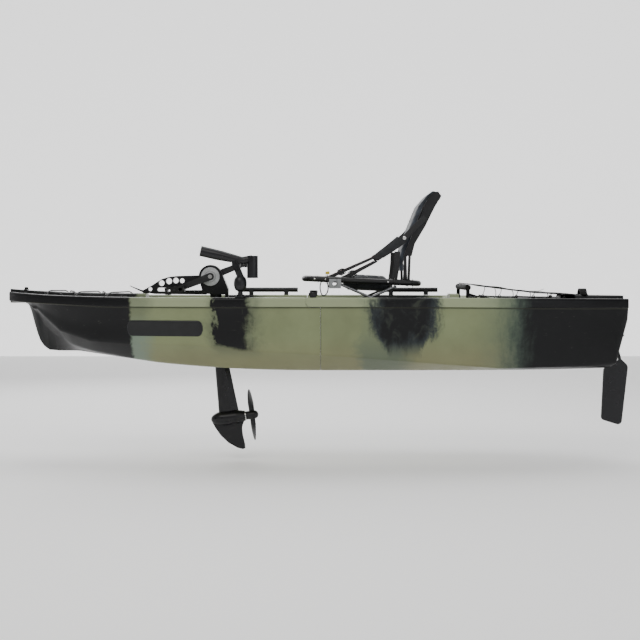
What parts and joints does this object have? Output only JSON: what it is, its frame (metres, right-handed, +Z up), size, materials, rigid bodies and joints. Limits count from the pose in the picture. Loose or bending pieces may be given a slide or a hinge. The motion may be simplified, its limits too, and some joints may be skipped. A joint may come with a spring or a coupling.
{
  "type": "pedal kayak",
  "caption": "Two-section sit-on-top kayak with a drop-in pedal drive, sliding frame seat, kick-up rudder, tank well and swivelling rod holder.",
  "frame": {"origin": "on the keel's flat underside on the centre plane, 2 mm forward of the bow section's after face", "axes": "+X towards the stern along the hull, +Y to starboard, +Z up"},
  "size_m": [3.085, 0.84, 1.281],
  "materials": {
    "bow_section": "satin",
    "joint_studs": "brushed",
    "bow_handle": "matte",
    "bow_pad_eyes": "matte",
    "bow_bungee": "matte",
    "bow_side_rail": "satin",
    "bow_rail_saddles": "matte",
    "rod_base": "matte",
    "stern_section": "satin",
    "stern_side_rail": "satin",
    "stern_rail_saddles": "matte",
    "stern_handle": "matte",
    "stern_pad_eyes": "matte",
    "stern_bungee": "matte",
    "cargo_cover": "matte",
    "cover_bar": "matte",
    "rod_tubes": "matte",
    "drain_plug": "matte",
    "seat_rails": "satin",
    "rudder_gudgeons": "satin",
    "rudder_lines": "matte",
    "steering_base": "matte",
    "joint_knob_port": "matte",
    "joint_knob_starboard": "matte",
    "drive_base": "matte",
    "drive_housing": "satin",
    "side_discs": "brushed",
    "drive_arm": "satin",
    "drive_leg": "satin",
    "gearcase": "satin",
    "axle_bearings": "polished",
    "arm_latch": "satin",
    "crank_axle": "polished",
    "crown_gear": "machined",
    "crank_port": "satin",
    "crank_starboard": "satin",
    "pedal_port": "matte",
    "pedal_starboard": "matte",
    "drive_shaft": "machined",
    "prop_shaft": "machined",
    "prop_ring": "polished",
    "propeller": "satin",
    "seat_base_frame": "satin",
    "seat_pan": "matte",
    "seat_cushion": "matte",
    "seat_struts": "satin",
    "seat_runners": "matte",
    "seat_brackets": "brushed",
    "seat_loop": "matte",
    "side_straps": "matte",
    "seat_back_frame": "satin",
    "seat_back_fabric": "matte",
    "rudder_head": "satin",
    "rudder_pin": "brushed",
    "blade_bolt": "brushed",
    "rudder_blade": "satin",
    "steering_handle": "matte",
    "rod_post": "matte",
    "cradle_bolt": "matte",
    "rod_cradle": "matte"
  },
  "bodies": {
    "bow_hull": {"bow_section": "bow_section", "joint_studs": "joint_studs", "bow_handle": "bow_handle", "bow_pad_eyes": "bow_pad_eyes", "bow_bungee": "bow_bungee", "bow_side_rail": "bow_side_rail", "bow_rail_saddles": "bow_rail_saddles", "rod_base": "rod_base"},
    "stern_hull": {"stern_section": "stern_section", "stern_side_rail": "stern_side_rail", "stern_rail_saddles": "stern_rail_saddles", "stern_handle": "stern_handle", "stern_pad_eyes": "stern_pad_eyes", "stern_bungee": "stern_bungee", "cargo_cover": "cargo_cover", "cover_bar": "cover_bar", "rod_tubes": "rod_tubes", "drain_plug": "drain_plug", "seat_rails": "seat_rails", "rudder_gudgeons": "rudder_gudgeons", "rudder_lines": "rudder_lines", "steering_base": "steering_base"},
    "joint_knob_port": {"joint_knob_port": "joint_knob_port"},
    "joint_knob_starboard": {"joint_knob_starboard": "joint_knob_starboard"},
    "drive": {"drive_base": "drive_base", "drive_housing": "drive_housing", "side_discs": "side_discs", "drive_arm": "drive_arm", "drive_leg": "drive_leg", "gearcase": "gearcase", "axle_bearings": "axle_bearings"},
    "arm_latch": {"arm_latch": "arm_latch"},
    "crank_set": {"crank_axle": "crank_axle", "crown_gear": "crown_gear", "crank_port": "crank_port", "crank_starboard": "crank_starboard"},
    "pedal_port": {"pedal_port": "pedal_port"},
    "pedal_starboard": {"pedal_starboard": "pedal_starboard"},
    "upright_shaft": {"drive_shaft": "drive_shaft"},
    "prop_set": {"prop_shaft": "prop_shaft", "prop_ring": "prop_ring", "propeller": "propeller"},
    "seat_base": {"seat_base_frame": "seat_base_frame", "seat_pan": "seat_pan", "seat_cushion": "seat_cushion", "seat_struts": "seat_struts", "seat_runners": "seat_runners", "seat_brackets": "seat_brackets", "seat_loop": "seat_loop", "side_straps": "side_straps"},
    "seat_back": {"seat_back_frame": "seat_back_frame", "seat_back_fabric": "seat_back_fabric"},
    "rudder_head": {"rudder_head": "rudder_head", "rudder_pin": "rudder_pin", "blade_bolt": "blade_bolt"},
    "rudder_blade": {"rudder_blade": "rudder_blade"},
    "steering_handle": {"steering_handle": "steering_handle"},
    "rod_post": {"rod_post": "rod_post", "cradle_bolt": "cradle_bolt"},
    "rod_cradle": {"rod_cradle": "rod_cradle"}
  },
  "joints": [
    {"name": "section_split", "type": "slide", "parent": "bow_hull", "child": "stern_hull", "axis": [1, 0, 0], "range_m": [0, 0.3]},
    {"name": "joint_knob_port_turn", "type": "hinge", "parent": "bow_hull", "child": "joint_knob_port", "pos_m": [-0.033, -0.3925, 0.3703], "axis": [0, 0, 1], "continuous": true},
    {"name": "joint_knob_starboard_turn", "type": "hinge", "parent": "bow_hull", "child": "joint_knob_starboard", "pos_m": [-0.033, 0.3925, 0.3703], "axis": [0, 0, 1], "continuous": true},
    {"name": "drive_lift", "type": "slide", "parent": "bow_hull", "child": "drive", "axis": [0, 0, 1], "range_m": [0, 0.65]},
    {"name": "latch_lift", "type": "hinge", "parent": "drive", "child": "arm_latch", "pos_m": [-0.876, 0, 0.38211], "axis": [0, 1, 0], "range_deg": [0, 70]},
    {"name": "crank_spin", "type": "hinge", "parent": "drive", "child": "crank_set", "pos_m": [-0.545, 0, 0.458], "axis": [0, 1, 0], "continuous": true},
    {"name": "pedal_port_spin", "type": "hinge", "parent": "crank_set", "child": "pedal_port", "pos_m": [-0.71247, -0.112, 0.39203], "axis": [0, 1, 0], "continuous": true},
    {"name": "pedal_starboard_spin", "type": "hinge", "parent": "crank_set", "child": "pedal_starboard", "pos_m": [-0.37752, 0.112, 0.52397], "axis": [0, 1, 0], "continuous": true},
    {"name": "shaft_spin", "type": "hinge", "parent": "drive", "child": "upright_shaft", "pos_m": [-0.545, 0, 0.458], "axis": [-0.1219, 0, 0.9925], "continuous": true},
    {"name": "prop_spin", "type": "hinge", "parent": "drive", "child": "prop_set", "pos_m": [-0.45823, 0, -0.24869], "axis": [0.9925, 0, 0.1219], "continuous": true},
    {"name": "seat_slide", "type": "slide", "parent": "stern_hull", "child": "seat_base", "axis": [1, 0, 0], "range_m": [-0.028, 0.118]},
    {"name": "seat_fold", "type": "hinge", "parent": "seat_base", "child": "seat_back", "pos_m": [0.424, 0, 0.428], "axis": [0, -1, 0], "range_deg": [0, 45], "deforming": ["side_straps"]},
    {"name": "rudder_steer", "type": "hinge", "parent": "stern_hull", "child": "rudder_head", "pos_m": [1.47477, 0, 0.09], "axis": [0.2722, 0, 0.9622], "range_deg": [-40, 40]},
    {"name": "rudder_kick", "type": "hinge", "parent": "rudder_head", "child": "rudder_blade", "pos_m": [1.482, 0, 0.046], "axis": [0, -1, 0], "range_deg": [0, 85]},
    {"name": "steering_turn", "type": "hinge", "parent": "stern_hull", "child": "steering_handle", "pos_m": [0.13, 0.306, 0.262], "axis": [0, 0, 1], "range_deg": [-15, 15]},
    {"name": "rod_swivel", "type": "hinge", "parent": "bow_hull", "child": "rod_post", "pos_m": [-0.378, -0.38126, 0.39], "axis": [0, 0, 1], "range_deg": [-90, 90]},
    {"name": "rod_tilt", "type": "hinge", "parent": "rod_post", "child": "rod_cradle", "pos_m": [-0.398, -0.38126, 0.51031], "axis": [0, -1, 0], "range_deg": [0, 40]}
  ],
  "couplings": [
    {"joint": "shaft_spin", "follows": "crank_spin", "ratio": 4},
    {"joint": "prop_spin", "follows": "crank_spin", "ratio": -8},
    {"joint": "steering_turn", "follows": "rudder_steer", "ratio": 0.375}
  ]
}
